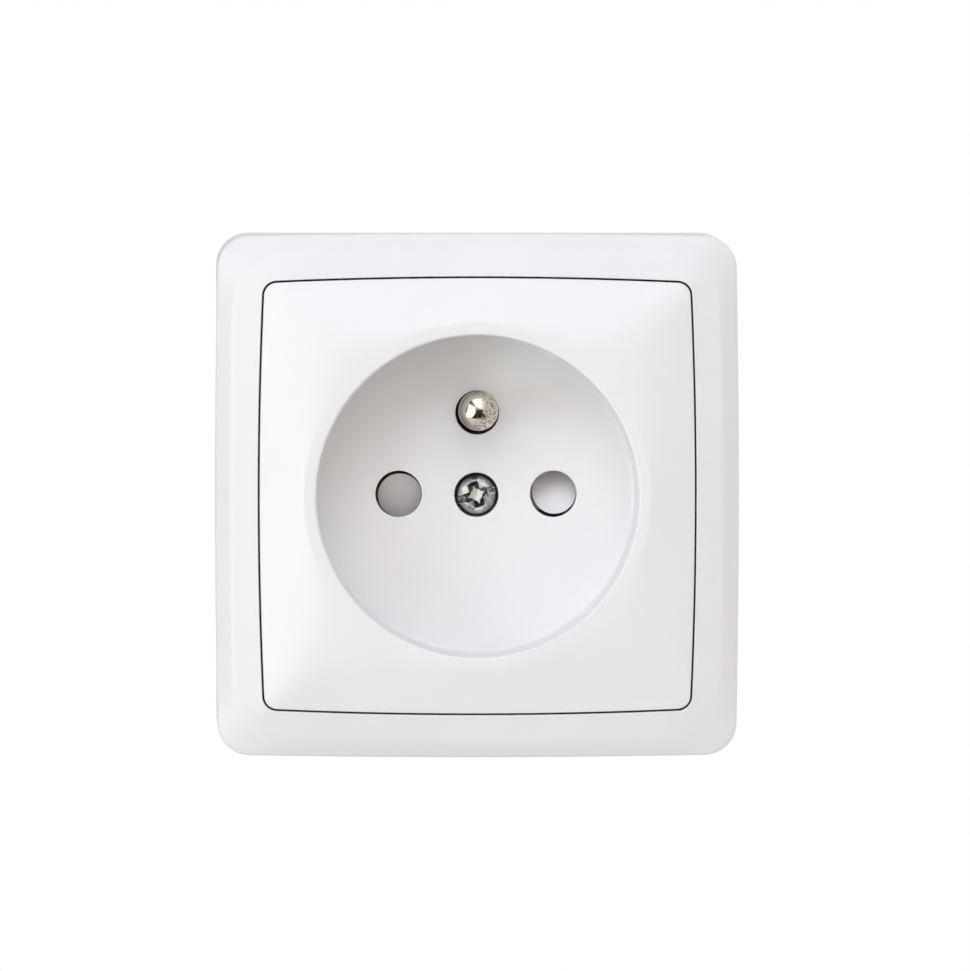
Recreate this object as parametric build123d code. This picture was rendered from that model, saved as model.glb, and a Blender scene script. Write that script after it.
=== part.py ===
from build123d import *
import math
import os

# Surface-mounted earthed socket for two round pins and an earth pin.
#
# Each piece is drawn in its own flat frame: u to the right, v up the wall and
# w out from the wall, all in millimetres. At the end the whole model is turned
# so that the wall is the plane y = 0, the front looks along -Y and Z is up.
# The origin is the centre of the wall face.

# ---- driving dimensions, mm -------------------------------------------------

# plug interface
pin_pitch = 19.0          # between the two live apertures
aperture_r = 2.85         # pin apertures in the recess floor
earth_u, earth_v = 0.15, 10.1     # earth hole, a little off its true place
earth_hole_r = 2.7
earth_pin_r = 2.4
earth_pin_shift = 0.2     # the pin stands a little high in its hole
earth_proud = 14.0        # earth pin above the recess floor

# front shell
front_w = 41.0            # flat rim of the recess
recess_r = 19.5
recess_depth = 15.0
rim_r = 21.05             # outer edge of the flat rim
rim_round = 0.35
floor_t = 1.8
cup_r = 21.4              # outside of the cup under the rim
cover_a, cover_c, cover_round = 26.4, 25.79, 1.6   # bowed outline: middle, corner, radius
cover_edge_w = 38.4
flange_w = 36.0
skirt_a, skirt_c, skirt_round = 24.95, 24.3, 1.3
skirt_w = 29.0
hollow_a, hollow_c, hollow_round = 23.3, 22.7, 1.2

# housing
wall_half = 32.35         # outside at the wall, straight sides
wall_round = 4.0
shoulder_a, shoulder_c, shoulder_w, shoulder_round = 31.85, 31.5, 35.9, 4.0
ridge_a, ridge_c, ridge_w, ridge_round = 29.95, 29.4, 37.5, 7.2
open_a, open_c, open_round = 26.62, 26.01, 1.8
open_edge_w = 38.35
ledge_a, ledge_c, ledge_round = 25.2, 24.55, 1.5
ledge_t = 2.0
inner_half = 30.1
knock_w, knock_h, knock_skin = 16.0, 9.0, 0.7

# mounting base
base_half = 29.5
base_t = 2.5
lip_w = 7.0
lip_t = 1.3
lip_gap = 9.0
wall_slot_u = 25.0
wall_slot_r = 2.1
wall_slot_len = 6.0
post_u = 17.8
post_r = 3.2
post_top = 7.0

# mechanism
mech_u = 21.0
mech_v0, mech_v1 = -20.0, 21.5
mech_top = 16.3
well_half = 4.2
well_floor = 5.2
term_half = 4.4
term_v0, term_v1 = -18.4, -10.8
term_w0, term_w1 = 6.0, 13.6
wire_r = 1.5
clamp_r = 1.45
strap_t = 0.8
sleeve_r0, sleeve_r1 = 2.35, 3.05
sleeve_top = 15.3
clip_r0, clip_r1 = 3.08, 3.6
plate_t = 1.2

# shutter group
boss_r = 4.4
hub_r0, hub_r1 = 4.48, 6.4
shutter_w0, shutter_w1 = 20.2, 21.4
wing_half = 2.2
pad_r = 2.7
pad_high, pad_low = 23.9, 21.5
coil_r, coil_wire = 5.2, 0.2
coil_w0, coil_w1 = 22.0, 23.7
coil_a0 = 9.3             # where the moving leg leaves the coil
coil_sweep = 720 + 218.4  # wound so that the shutter's turn tightens it
leg_a, leg_b = 4.8, 5.2   # straight ends of the spring's wire
guide_r = 14.5
guide_w0, guide_w1 = 18.9, 20.1

cover_bolt_r = 1.5
head_r = 2.55
head_turn = 17.0          # the head stopped at this angle

# ---- helpers ----------------------------------------------------------------


def corner_points(a, c, r):
    """Fillet centre and tangent point of a square whose sides bow out from c at the corners to a in the middle."""
    if a - c < 1e-6:
        return a - r, (a - r, a)
    big = (c * c + (a - c) ** 2) / (2 * (a - c))
    t = (-(big - a) + math.sqrt(2 * (big - r) ** 2 - (big - a) ** 2)) / 2
    px = big * t / (big - r)
    py = (a - big) + big * (t - a + big) / (big - r)
    return t, (px, py)


def outline(a, c, r, w):
    """Eight-edge wire: four bowed or straight sides and four round corners, at height w."""
    t, (px, py) = corner_points(a, c, r)
    m = t + r / math.sqrt(2)
    edges = []
    for k in range(4):
        turn = Rot(0, 0, 90 * k)
        p0, p1 = (py, -px, w), (py, px, w)
        if a - c < 1e-6:
            side = Line(p0, p1)
        else:
            side = ThreePointArc(p0, (a, 0, w), p1)
        edges.append(turn * side)
        edges.append(turn * ThreePointArc(p1, (m, m, w), (px, py, w)))
    return Wire(edges)


def ring(r, w, half_deg=5.0):
    """Circle as eight arcs that answer to the eight edges of an outline."""
    edges = []

    def at(deg):
        q = math.radians(deg)
        return (r * math.cos(q), r * math.sin(q), w)

    for k in range(4):
        m = 90 * k
        edges.append(ThreePointArc(at(m - 45 + half_deg), at(m), at(m + 45 - half_deg)))
        edges.append(ThreePointArc(at(m + 45 - half_deg), at(m + 45), at(m + 45 + half_deg)))
    return Wire(edges)


def prism(a, c, r, w0, w1):
    return extrude(Face(outline(a, c, r, w0)), amount=w1 - w0)


def cyl(r, u, v, w0, w1):
    return Pos(u, v, (w0 + w1) / 2) * Cylinder(r, w1 - w0)


def block(u0, u1, v0, v1, w0, w1):
    return Pos((u0 + u1) / 2, (v0 + v1) / 2, (w0 + w1) / 2) * Box(u1 - u0, v1 - v0, w1 - w0)


def bar(r, p, q):
    """Round bar from p to q."""
    p, q = Vector(*p), Vector(*q)
    d = q - p
    return Plane(origin=p, z_dir=d) * Pos(0, 0, d.length / 2) * Cylinder(r, d.length)


def polar(r, deg):
    q = math.radians(deg)
    return r * math.cos(q), r * math.sin(q)


parts = {}

# ---- mounting base ----------------------------------------------------------

base = prism(base_half, base_half, 2.4, 0, base_t)
lip = prism(base_half, base_half, 2.4, base_t, lip_w)
lip -= prism(base_half - lip_t, base_half - lip_t, 1.1, base_t - 1, lip_w + 1)
lip -= block(-lip_gap, lip_gap, -40, 40, base_t - 1, lip_w + 1)
lip -= block(-40, 40, -lip_gap, lip_gap, base_t - 1, lip_w + 1)
base += lip
for s in (-1, 1):
    base += cyl(post_r, s * post_u, 0, base_t, post_top)
    base -= cyl(1.47, s * post_u, 0, 1.0, post_top + 1)
    half = (wall_slot_len - 2 * wall_slot_r) / 2
    base -= block(s * wall_slot_u - half, s * wall_slot_u + half, -wall_slot_r, wall_slot_r, -1, 4)
    base -= cyl(wall_slot_r, s * wall_slot_u - half, 0, -1, 4)
    base -= cyl(wall_slot_r, s * wall_slot_u + half, 0, -1, 4)
# way in for a cable that comes out of the wall, and thinner fields on the back
base -= block(-9, 9, -27.4, -20.6, -1, 4)
for s in (-1, 1):
    base -= block(s * 12 - 5, s * 12 + 5, 6, 18, -1, 0.7)
    base -= block(s * 12 - 5, s * 12 + 5, -18, -6, -1, 0.7)
parts["mounting_base"] = base

# ---- housing ----------------------------------------------------------------

shell = loft([Face(outline(wall_half, wall_half, wall_round, 0)),
              Face(outline(shoulder_a, shoulder_c, shoulder_round, shoulder_w))], ruled=True)
bevel = loft([Face(outline(shoulder_a, shoulder_c, shoulder_round, shoulder_w)),
              Face(outline(ridge_a, ridge_c, ridge_round, ridge_w))], ruled=True)
band = loft([Face(outline(ridge_a, ridge_c, ridge_round, ridge_w)),
             Face(outline(open_a, open_c, open_round, open_edge_w))], ruled=True)
housing = shell + bevel + band
housing -= prism(inner_half, inner_half, 2.2, -1, flange_w - ledge_t)
housing -= prism(ledge_a, ledge_c, ledge_round, flange_w - ledge_t - 1, flange_w + 1)
housing -= prism(open_a, open_c, open_round, flange_w, 45)
# thin fields to break out for surface cable, top and bottom
for s in (-1, 1):
    v0 = s * (inner_half - 1)
    v1 = s * (wall_half - knock_skin - 0.12)
    housing -= block(-knock_w / 2, knock_w / 2, min(v0, v1), max(v0, v1), -1, knock_h)
parts["outer_housing"] = housing

# ---- centre cover -----------------------------------------------------------

floor_w = front_w - recess_depth
floor_back = floor_w - floor_t

crown = loft([Face(outline(cover_a, cover_c, cover_round, cover_edge_w)),
              Face(outline(23.7, 23.5, 5.9, 39.7)),
              Face(outline(21.87, 21.78, 11.2, 40.6)),
              Face(outline(21.26, 21.2, 15.6, 40.9)),
              Face(ring(rim_r, front_w, 30))], ruled=True)
cover = crown + prism(cover_a, cover_c, cover_round, flange_w, cover_edge_w)
cover += prism(skirt_a, skirt_c, skirt_round, skirt_w, flange_w)
cover += cyl(cup_r, 0, 0, floor_back, flange_w)
hollow = prism(hollow_a, hollow_c, hollow_round, skirt_w - 1, flange_w)
hollow += loft([Face(outline(hollow_a, hollow_c, hollow_round, flange_w)),
                Face(ring(cup_r - 0.6, 38.9))], ruled=True)
hollow -= cyl(cup_r, 0, 0, skirt_w - 2, 40)
cover -= hollow
# recess with its rounded lip and rounded floor edge
with BuildPart() as recess_tool:
    with BuildSketch(Plane.XZ):
        with BuildLine():
            Polyline((0, floor_w), (recess_r, floor_w), (recess_r, front_w - rim_round))
            RadiusArc((recess_r, front_w - rim_round), (recess_r + rim_round, front_w), -rim_round)
            Polyline((recess_r + rim_round, front_w), (recess_r + rim_round, front_w + 2), (0, front_w + 2), (0, floor_w))
        make_face()
    revolve(axis=Axis.Z)
tool = recess_tool.part
low = tool.edges().filter_by(GeomType.CIRCLE).sort_by(Axis.Z)[0]
tool = fillet(low, 0.8)
cover -= tool
# centre boss, the shutter's journal
cover += cyl(boss_r, 0, 0, mech_top + plate_t, floor_w)
for s in (-1, 1):
    cover -= cyl(aperture_r, s * pin_pitch / 2, 0, floor_back - 1, floor_w + 1)
cover -= cyl(earth_hole_r, earth_u, earth_v, floor_back - 1, floor_w + 1)
cover -= cyl(head_r + 0.17, 0, 0, 23.3, floor_w + 1)
cover -= cyl(cover_bolt_r + 0.2, 0, 0, mech_top, floor_w + 1)
# posts for the guide plate, their ends spread after it is pushed on
for u, v in ((7.0, 10.5), (-7.0, -10.5)):
    cover += cyl(1.8, u, v, guide_w1, floor_back)
    cover += cyl(1.0, u, v, guide_w0 - 0.7, guide_w1)
    cover += cyl(1.7, u, v, guide_w0 - 0.7, guide_w0)
# rest stops for the shutter and the fixed peg of its spring
for k in (0, 180):
    u, v = polar(7.4, 26.5 + k)
    cover += cyl(0.7, u, v, 20.6, floor_back)
u, v = polar(7.4, 262)
cover += cyl(0.65, u, v, 22.9, floor_back)
parts["centre_cover"] = cover

# ---- cover screw and its nut ------------------------------------------------

head = cyl(head_r, 0, 0, 23.3, 25.0)
dome_r = 6.0
dome = Pos(0, 0, 25.75 - dome_r) * Sphere(dome_r)
head = cyl(head_r, 0, 0, 23.3, 25.9) & dome
slot = block(-3, 3, -0.42, 0.42, 25.0, 27)
cross = block(-1.45, 1.45, -0.42, 0.42, 24.3, 27) + block(-0.42, 0.42, -1.45, 1.45, 24.3, 27)
head -= Rot(0, 0, head_turn) * (slot + cross)
screw = head + cyl(cover_bolt_r, 0, 0, 8.0, 23.3)
screw = chamfer(screw.edges().filter_by(GeomType.CIRCLE).sort_by(Axis.Z)[0], 0.4)
parts["cover_screw"] = screw
nut = block(-2.75, 2.75, -2.75, 2.75, 10.0, 12.4) - cyl(cover_bolt_r + 0.02, 0, 0, 9, 13)
parts["square_nut"] = nut

# ---- mechanism body ---------------------------------------------------------

mech = block(-mech_u, mech_u, mech_v0, mech_v1, base_t, mech_top)
mech = fillet(mech.edges().filter_by(Axis.Z), 2.0)
pin_v = earth_v + earth_pin_shift
for s in (-1, 1):
    u = s * pin_pitch / 2
    mech -= block(u - well_half, u + well_half, -well_half, well_half, well_floor, mech_top + 1)
    mech -= block(u - 2.8, u + 2.8, term_v1, 0, well_floor, mech_top + 1)
    mech -= block(u - term_half - 0.2, u + term_half + 0.2, term_v0 - 0.2, term_v1 + 0.2, well_floor, mech_top + 1)
    mech -= bar(2.2, (u, mech_v0 - 1, 9.4), (u, term_v0, 9.4))
    mech -= cyl(post_r + 0.25, s * post_u, 0, base_t - 1, post_top)
    mech -= cyl(1.7, s * post_u, 0, base_t, mech_top + 1)
    mech -= cyl(3.0, s * post_u, 0, 8.5, mech_top + 1)
mech -= cyl(3.8, earth_u, pin_v, 6.8, mech_top + 1)
mech -= cyl(2.6, earth_u, pin_v, 5.6, 7)
mech -= block(-3.4, 3.4, pin_v, 20.6, 6.8, mech_top + 1)
mech -= block(-term_half - 0.2, term_half + 0.2, 13.8, 20.6, 6.8, mech_top + 1)
mech -= bar(2.2, (0, 20, 10.6), (0, mech_v1 + 1, 10.6))
mech -= block(-2.8, 2.8, -2.8, 2.8, base_t - 1, 12.4)
mech -= cyl(cover_bolt_r + 0.2, 0, 0, 12, mech_top + 1)
parts["mechanism_body"] = mech

# ---- plate over the contact wells -------------------------------------------

plate = block(-14.4, 14.4, -10.2, 13.6, mech_top, mech_top + plate_t)
plate = fillet(plate.edges().filter_by(Axis.Z), 2.0)
for s in (-1, 1):
    plate -= cyl(2.9, s * pin_pitch / 2, 0, mech_top - 1, mech_top + 3)
plate -= cyl(cover_bolt_r + 0.2, 0, 0, mech_top - 1, mech_top + 3)
plate -= cyl(2.8, earth_u, pin_v, mech_top - 1, mech_top + 3)
parts["contact_cover_plate"] = plate

# ---- contacts, clips, terminals ---------------------------------------------

clips = []
clamps = []
for name, s in (("neutral", -1), ("line", 1)):
    u = s * pin_pitch / 2
    strap = block(u - 2.4, u + 2.4, term_v0, 0, well_floor, well_floor + strap_t)
    strap += cyl(3.4, u, 0, well_floor, well_floor + strap_t)
    sleeve = cyl(sleeve_r1, u, 0, well_floor + strap_t, sleeve_top) - cyl(sleeve_r0, u, 0, well_floor + strap_t, sleeve_top + 1)
    for deg in (45, 135):
        slit = Pos(u, 0, (7.5 + sleeve_top) / 2 + 1) * Rot(0, 0, deg) * Box(8, 0.6, sleeve_top - 7.5 + 2)
        sleeve -= slit
    parts[name + "_contact"] = strap + sleeve
    clip = cyl(clip_r1, u, 0, 11.5, 13.1) - cyl(clip_r0, u, 0, 11, 14)
    clip -= block(u - 0.5, u + 0.5, 0, 5, 11, 14)
    clips.append(clip)
    term = block(u - term_half, u + term_half, term_v0, term_v1, term_w0, term_w1)
    term = chamfer(term.edges().filter_by(Axis.Z), 0.5)
    term -= bar(wire_r, (u, term_v0 - 1, 9.4), (u, term_v1 - 1.6, 9.4))
    term -= cyl(clamp_r + 0.02, u, -14.4, 9.4, term_w1 + 1)
    parts[name + "_terminal"] = term
    clamps.append((u, -14.4, 10.7, term_w1))
parts["contact_springs"] = Compound(clips)

# ---- earth pin, strap and terminal ------------------------------------------

pin_top = floor_w + earth_proud
neck_r = earth_pin_r - 0.2
with BuildPart() as turned:
    with BuildSketch(Plane.XZ):
        with BuildLine():
            Polyline((0, 6.0), (2.4, 6.0), (2.4, 6.8), (1.6, 6.8), (1.6, 8.0), (3.4, 8.0), (3.4, 9.5), (neck_r, 9.5),
                     (neck_r, floor_w + 0.4), (earth_pin_r, floor_w + 0.4), (earth_pin_r, pin_top - earth_pin_r))
            RadiusArc((earth_pin_r, pin_top - earth_pin_r), (0, pin_top), -earth_pin_r)
            Line((0, pin_top), (0, 6.0))
        make_face()
    revolve(axis=Axis.Z)
pin = Pos(earth_u, pin_v, 0) * turned.part
parts["earth_pin"] = pin
earth_strap = block(-3.2, 3.2, pin_v, 20.4, 6.8, 8.0) + cyl(3.2, 0, pin_v, 6.8, 8.0)
earth_strap -= cyl(1.62, earth_u, pin_v, 6, 9)
parts["earth_strap"] = earth_strap
earth_term = block(-term_half, term_half, 14.0, 20.4, 8.0, term_w1)
earth_term = chamfer(earth_term.edges().filter_by(Axis.Z), 0.5)
earth_term -= bar(wire_r, (0, 15.2, 10.6), (0, 22, 10.6))
earth_term -= cyl(clamp_r + 0.02, 0, 17.4, 10.6, term_w1 + 1)
parts["earth_terminal"] = earth_term
clamps.append((0, 17.4, 11.9, term_w1))

screws = []
for u, v, w0, w1 in clamps:
    s = cyl(clamp_r, u, v, w0, w1) + cyl(2.4, u, v, w1, w1 + 1.8)
    s -= Pos(u, v, w1 + 1.8) * Rot(0, 0, 30) * Box(6, 0.7, 1.6)
    screws.append(s)
parts["terminal_screws"] = Compound(screws)

screws = []
for s in (-1, 1):
    u = s * post_u
    one = cyl(1.45, u, 0, 2.0, 8.5) + cyl(2.8, u, 0, 8.5, 10.6)
    one -= Pos(u, 0, 10.6) * Rot(0, 0, 45) * (Box(3.2, 0.8, 2.4) + Box(0.8, 3.2, 2.4))
    screws.append(one)
parts["mechanism_screws"] = Compound(screws)

# ---- shutter, its spring and its guide plate --------------------------------

rotor = cyl(hub_r1, 0, 0, shutter_w0, shutter_w1)
pads = {1: (pin_pitch / 2 + 0.15, 0.22), -1: (-pin_pitch / 2 + 0.15, -0.22)}
for s in (1, -1):
    pu, pv = pads[s]
    rotor += block(min(0, pu), max(0, pu), pv - wing_half, pv + wing_half, shutter_w0, shutter_w1)
    pad = cyl(pad_r, pu, pv, shutter_w0, pad_high)
    # a plug pin that lands on this slope turns the shutter out of its way
    slope = math.degrees(math.atan2(pad_high - pad_low, 2 * pad_r))
    mid = (pad_high + pad_low) / 2
    cutter = Pos(pu, pv, mid) * Rot(-s * slope, 0, 0) * Pos(0, 0, 5) * Box(20, 20, 10)
    rotor += pad - cutter
rotor -= cyl(hub_r0, 0, 0, shutter_w0 - 1, pad_high + 1)
pu, pv = polar(7.0, -21.5)
rotor += cyl(1.1, pu, pv, shutter_w0, shutter_w1)
rotor += cyl(0.55, pu, pv, shutter_w0, 23.2)
parts["shutter"] = rotor

# one wire: a straight leg inside the shutter's peg, the coil, and a straight leg inside the cover's peg
turns = Helix(pitch=(coil_w1 - coil_w0) / (coil_sweep / 360), height=coil_w1 - coil_w0, radius=coil_r)
route = Wire([Line(turns @ 0 - (turns % 0) * leg_a, turns @ 0), turns.edges()[0],
              Line(turns @ 1, turns @ 1 + (turns % 1) * leg_b)])
wire = sweep(Plane(origin=route @ 0, z_dir=route % 0) * Circle(coil_wire), path=route)
coil = Pos(0, 0, coil_w0) * Rot(0, 0, coil_a0) * wire
parts["shutter_spring"] = coil

guide = cyl(guide_r, 0, 0, guide_w0, guide_w1) - cyl(4.7, 0, 0, guide_w0 - 1, guide_w1 + 1)
for s in (-1, 1):
    guide -= cyl(3.4, s * pin_pitch / 2, 0, guide_w0 - 1, guide_w1 + 1)
guide -= cyl(3.0, earth_u, pin_v, guide_w0 - 1, guide_w1 + 1)
for u, v in ((7.0, 10.5), (-7.0, -10.5)):
    guide -= cyl(1.05, u, v, guide_w0 - 1, guide_w1 + 1)
parts["shutter_retainer"] = guide

# ---- turn to the wall frame and write ---------------------------------------

os.makedirs("parts", exist_ok=True)
for name, shape in parts.items():
    solids = [Rot(90, 0, 0) * s for s in shape.solids()]
    export_step(solids[0] if len(solids) == 1 else Compound(solids), "parts/" + name + ".step")
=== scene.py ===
import math

import bmesh
import bpy
import numpy as np
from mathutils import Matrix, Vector


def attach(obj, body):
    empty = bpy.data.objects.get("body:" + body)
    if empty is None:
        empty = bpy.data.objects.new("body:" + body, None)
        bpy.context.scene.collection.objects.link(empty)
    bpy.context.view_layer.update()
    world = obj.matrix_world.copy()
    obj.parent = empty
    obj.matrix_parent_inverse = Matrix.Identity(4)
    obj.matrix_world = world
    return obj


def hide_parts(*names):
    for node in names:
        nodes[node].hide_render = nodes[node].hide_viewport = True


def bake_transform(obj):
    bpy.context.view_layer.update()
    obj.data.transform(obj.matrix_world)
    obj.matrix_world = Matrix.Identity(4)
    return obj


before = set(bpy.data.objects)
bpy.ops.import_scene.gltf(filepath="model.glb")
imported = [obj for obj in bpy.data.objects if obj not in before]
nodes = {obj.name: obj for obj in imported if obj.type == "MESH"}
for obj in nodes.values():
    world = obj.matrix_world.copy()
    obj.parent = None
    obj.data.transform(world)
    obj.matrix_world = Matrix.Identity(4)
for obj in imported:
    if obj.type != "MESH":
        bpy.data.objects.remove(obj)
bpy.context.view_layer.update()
scene = bpy.context.scene

# Drawn in mm in the wall's own frame: u to the right, v up the wall, w out from the wall.
MM = 0.001


def at(u, v, w):
    return (float(u) * MM, -float(w) * MM, float(v) * MM)


# ---- angles that every ring of the two shells shares -------------------------


def side_angles():
    """Degrees off the middle of one side, -45 up to but not including 45: close together at the corners."""
    half = list(np.arange(0, 37, 1.0)) + list(np.arange(37, 41, 0.5)) + list(np.arange(41, 42.79, 0.3))
    half += list(np.arange(42.8, 45.01, 0.2)) + [13.45, 13.70, 14.2, 14.46, 15.1]
    half = sorted(set(round(float(a), 3) for a in half))
    return [-a for a in reversed(half) if a > 0] + [a for a in half if a < 44.99]


SIDE = side_angles()
THETA = np.radians([90 * k + a for k in range(4) for a in SIDE])
PHI = np.abs(np.radians(np.array(SIDE * 4)))
SIDE_OF = np.array([k for k in range(4) for _ in SIDE])     # 0 right, 1 top, 2 left, 3 bottom
COS, SIN = np.cos(THETA), np.sin(THETA)
ONE = np.ones_like(THETA)


def outline(a, c, r, d=0.0):
    """Radius at every angle of a square whose sides bow from c at the corners to a in the middle, moved in by d."""
    q = PHI
    if a - c < 1e-6:
        t = a - r
        px, py = a - d, t
        side = (a - d) / np.cos(q)
    else:
        big = (c * c + (a - c) ** 2) / (2 * (a - c))
        t = (-(big - a) + math.sqrt(2 * (big - r) ** 2 - (big - a) ** 2)) / 2
        f = (big - d) / (big - r)
        px, py = (a - big) + f * (t - a + big), f * t
        m = (a - big) * np.cos(q)
        side = m + np.sqrt(m * m + (big - d) ** 2 - (a - big) ** 2)
    turn = math.atan2(py, px)
    cs, sn = np.cos(q), np.sin(q)
    corner = t * (cs + sn) + np.sqrt(np.maximum((r - d) ** 2 - (t * (cs - sn)) ** 2, 0))
    return np.where(q < turn, side, corner)


# ---- rings and closed shells --------------------------------------------------


def soften(points):
    """A profile of (radius, height, softness, steps, gap) given at every angle, with its corners rounded. Returns rings of (radius, height, gap)."""
    rings = []
    last = len(points) - 1
    for k, (rho, w, soft, n, gap) in enumerate(points):
        rho, w = rho * ONE, w * ONE
        if soft == 0 or k in (0, last):
            rings.append((rho, w, gap))
            continue
        ar, aw = points[k - 1][0] * ONE - rho, points[k - 1][1] * ONE - w
        br, bw = points[k + 1][0] * ONE - rho, points[k + 1][1] * ONE - w
        la, lb = np.hypot(ar, aw), np.hypot(br, bw)
        s = np.minimum(soft, 0.42 * np.minimum(la, lb))
        ar, aw, br, bw = ar / la, aw / la, br / lb, bw / lb
        rings.append((rho + ar * s * 1.35, w + aw * s * 1.35, gap))
        for i in range(n + 1):
            t = i / n
            ka, kb = (1 - t) ** 2 * s, t ** 2 * s
            rings.append((rho + ar * ka + br * kb, w + aw * ka + bw * kb, gap))
        rings.append((rho + br * s * 1.35, w + bw * s * 1.35, gap))
    return rings


def add_ring(bm, layer, rho, w, gap_value):
    made = []
    for i in range(len(THETA)):
        v = bm.verts.new(at(rho[i] * COS[i], rho[i] * SIN[i], w[i]))
        v[layer] = float(gap_value[i])
        made.append(v)
    return made


def add_circle(bm, u, v, r, w, n):
    return [bm.verts.new(at(u + r * math.cos(2 * math.pi * i / n), v + r * math.sin(2 * math.pi * i / n), w)) for i in range(n)]


def strip(bm, a, b):
    n = len(a)
    for i in range(n):
        j = (i + 1) % n
        bm.faces.new((a[i], a[j], b[j], b[i]))


def tube_of(bm, u, v, profile, n, first=None, last=None):
    """Joins circles round (u, v) given as (radius, height); first and last are rings that are there already."""
    rings = [first] if first else []
    rings += [add_circle(bm, u, v, r, w, n) for r, w in profile]
    if last:
        rings.append(last)
    for a, b in zip(rings, rings[1:]):
        strip(bm, a, b)
    return rings


def cap(bm, ring):
    bm.faces.new(ring)


def fill(bm, loops):
    edges = []
    for ring in loops:
        for i in range(len(ring)):
            pair = (ring[i], ring[(i + 1) % len(ring)])
            edges.append(bm.edges.get(pair) or bm.edges.new(pair))
    bmesh.ops.triangle_fill(bm, use_beauty=True, use_dissolve=False, edges=edges)


def finish_mesh(bm, name, sharp_deg=38.0):
    bmesh.ops.remove_doubles(bm, verts=bm.verts, dist=1e-8)
    bmesh.ops.recalc_face_normals(bm, faces=bm.faces)
    mesh = bpy.data.meshes.new(name)
    bm.to_mesh(mesh)
    bm.free()
    mesh.polygons.foreach_set("use_smooth", [True] * len(mesh.polygons))
    mesh.set_sharp_from_angle(angle=math.radians(sharp_deg))
    obj = bpy.data.objects.new(name, mesh)
    scene.collection.objects.link(obj)
    return obj


# ---- materials -----------------------------------------------------------------


class Mat:
    """A node material with short names for what every one of them needs."""

    def __init__(self, name):
        self.m = bpy.data.materials.new(name)
        self.m.use_nodes = True
        self.t = self.m.node_tree
        self.b = self.t.nodes["Principled BSDF"]
        self.coord = self.t.nodes.new("ShaderNodeTexCoord")

    def node(self, kind, **values):
        n = self.t.nodes.new(kind)
        for k, v in values.items():
            setattr(n, k, v)
        return n

    def link(self, a, b):
        self.t.links.new(a, b)

    def noise(self, scale, detail=3.0, rough=0.55, distort=0.0, stretch=None):
        n = self.node("ShaderNodeTexNoise")
        n.inputs["Scale"].default_value = scale
        n.inputs["Detail"].default_value = detail
        n.inputs["Roughness"].default_value = rough
        n.inputs["Distortion"].default_value = distort
        if stretch:
            mp = self.node("ShaderNodeMapping")
            mp.inputs["Scale"].default_value = stretch
            self.link(self.coord.outputs["Object"], mp.inputs["Vector"])
            self.link(mp.outputs["Vector"], n.inputs["Vector"])
        else:
            self.link(self.coord.outputs["Object"], n.inputs["Vector"])
        return n.outputs["Fac"]

    def spread(self, value, a, b, lo=0.3, hi=0.7):
        n = self.node("ShaderNodeMapRange")
        n.inputs["From Min"].default_value = lo
        n.inputs["From Max"].default_value = hi
        n.inputs["To Min"].default_value = a
        n.inputs["To Max"].default_value = b
        self.link(value, n.inputs["Value"])
        return n.outputs["Result"]

    def mix(self, fac, a, b):
        n = self.node("ShaderNodeMix", data_type="RGBA")
        for value, key in ((fac, 0), (a, 6), (b, 7)):
            if isinstance(value, (int, float)):
                n.inputs[key].default_value = value
            elif isinstance(value, (tuple, list)):
                n.inputs[key].default_value = (*value[:3], 1)
            else:
                self.link(value, n.inputs[key])
        return n.outputs[2]

    def math(self, op, a, b=None):
        n = self.node("ShaderNodeMath", operation=op)
        for i, value in enumerate((a, b)):
            if value is None:
                continue
            if isinstance(value, (int, float)):
                n.inputs[i].default_value = value
            else:
                self.link(value, n.inputs[i])
        return n.outputs[0]

    def attribute(self, name):
        n = self.node("ShaderNodeAttribute")
        n.attribute_name = name
        return n.outputs["Fac"]

    def bump(self, height, strength, distance, before=None):
        n = self.node("ShaderNodeBump")
        n.inputs["Strength"].default_value = strength
        n.inputs["Distance"].default_value = distance
        self.link(height, n.inputs["Height"])
        if before is not None:
            self.link(before, n.inputs["Normal"])
        return n.outputs["Normal"]

    def set(self, socket, value):
        s = self.b.inputs[socket]
        if isinstance(value, (int, float)):
            s.default_value = value
        elif isinstance(value, (tuple, list)):
            s.default_value = (*value[:3], 1)
        else:
            self.link(value, s)


def plastic(name, color, rough=(0.29, 0.37), tint=0.02, grain=0.05, gap=False, ior=1.49):
    """Moulded plastic: faint cloudiness in the colour, uneven gloss and a very fine skin."""
    m = Mat(name)
    c = np.array(color)
    clouds = m.spread(m.noise(55, 4, 0.6), 0.0, 1.0)
    col = m.mix(clouds, tuple(c * (1 - tint)), tuple(np.minimum(c * (1 + tint * 0.5), 0.97)))
    if gap:
        # painted shade: surfaces down inside the gap between parts are coloured almost black, a little uneven
        gap_shade_noise = m.spread(m.noise(900, 3, 0.6), 0.82, 1.0)
        crevice_shade = m.math("MULTIPLY", m.attribute("gap"), gap_shade_noise)
        col = m.mix(crevice_shade, col, (0.010, 0.0095, 0.009))
    m.set("Base Color", col)
    m.set("Roughness", m.spread(m.noise(140, 4, 0.6), rough[0], rough[1]))
    m.set("IOR", ior)
    skin = m.bump(m.noise(1500, 3, 0.55), grain, 0.00006)
    waves = m.bump(m.noise(38, 2, 0.5), 0.06, 0.0006, skin)
    m.set("Normal", waves)
    return m.m


def metal(name, color, rough=(0.15, 0.3), tint=0.12, scratch=0.15, scale=700):
    m = Mat(name)
    c = np.array(color)
    clouds = m.spread(m.noise(scale * 0.5, 4, 0.6), 0.0, 1.0)
    m.set("Base Color", m.mix(clouds, tuple(c * (1 - tint)), tuple(np.minimum(c * (1 + tint * 0.4), 0.97))))
    m.set("Metallic", 1.0)
    m.set("Roughness", m.spread(m.noise(scale, 4, 0.65), rough[0], rough[1]))
    lines = m.noise(scale * 1.5, 3, 0.6, 0.0, (1, 6, 1))
    m.set("Normal", m.bump(lines, scratch, 0.00004))
    return m.m


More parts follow.
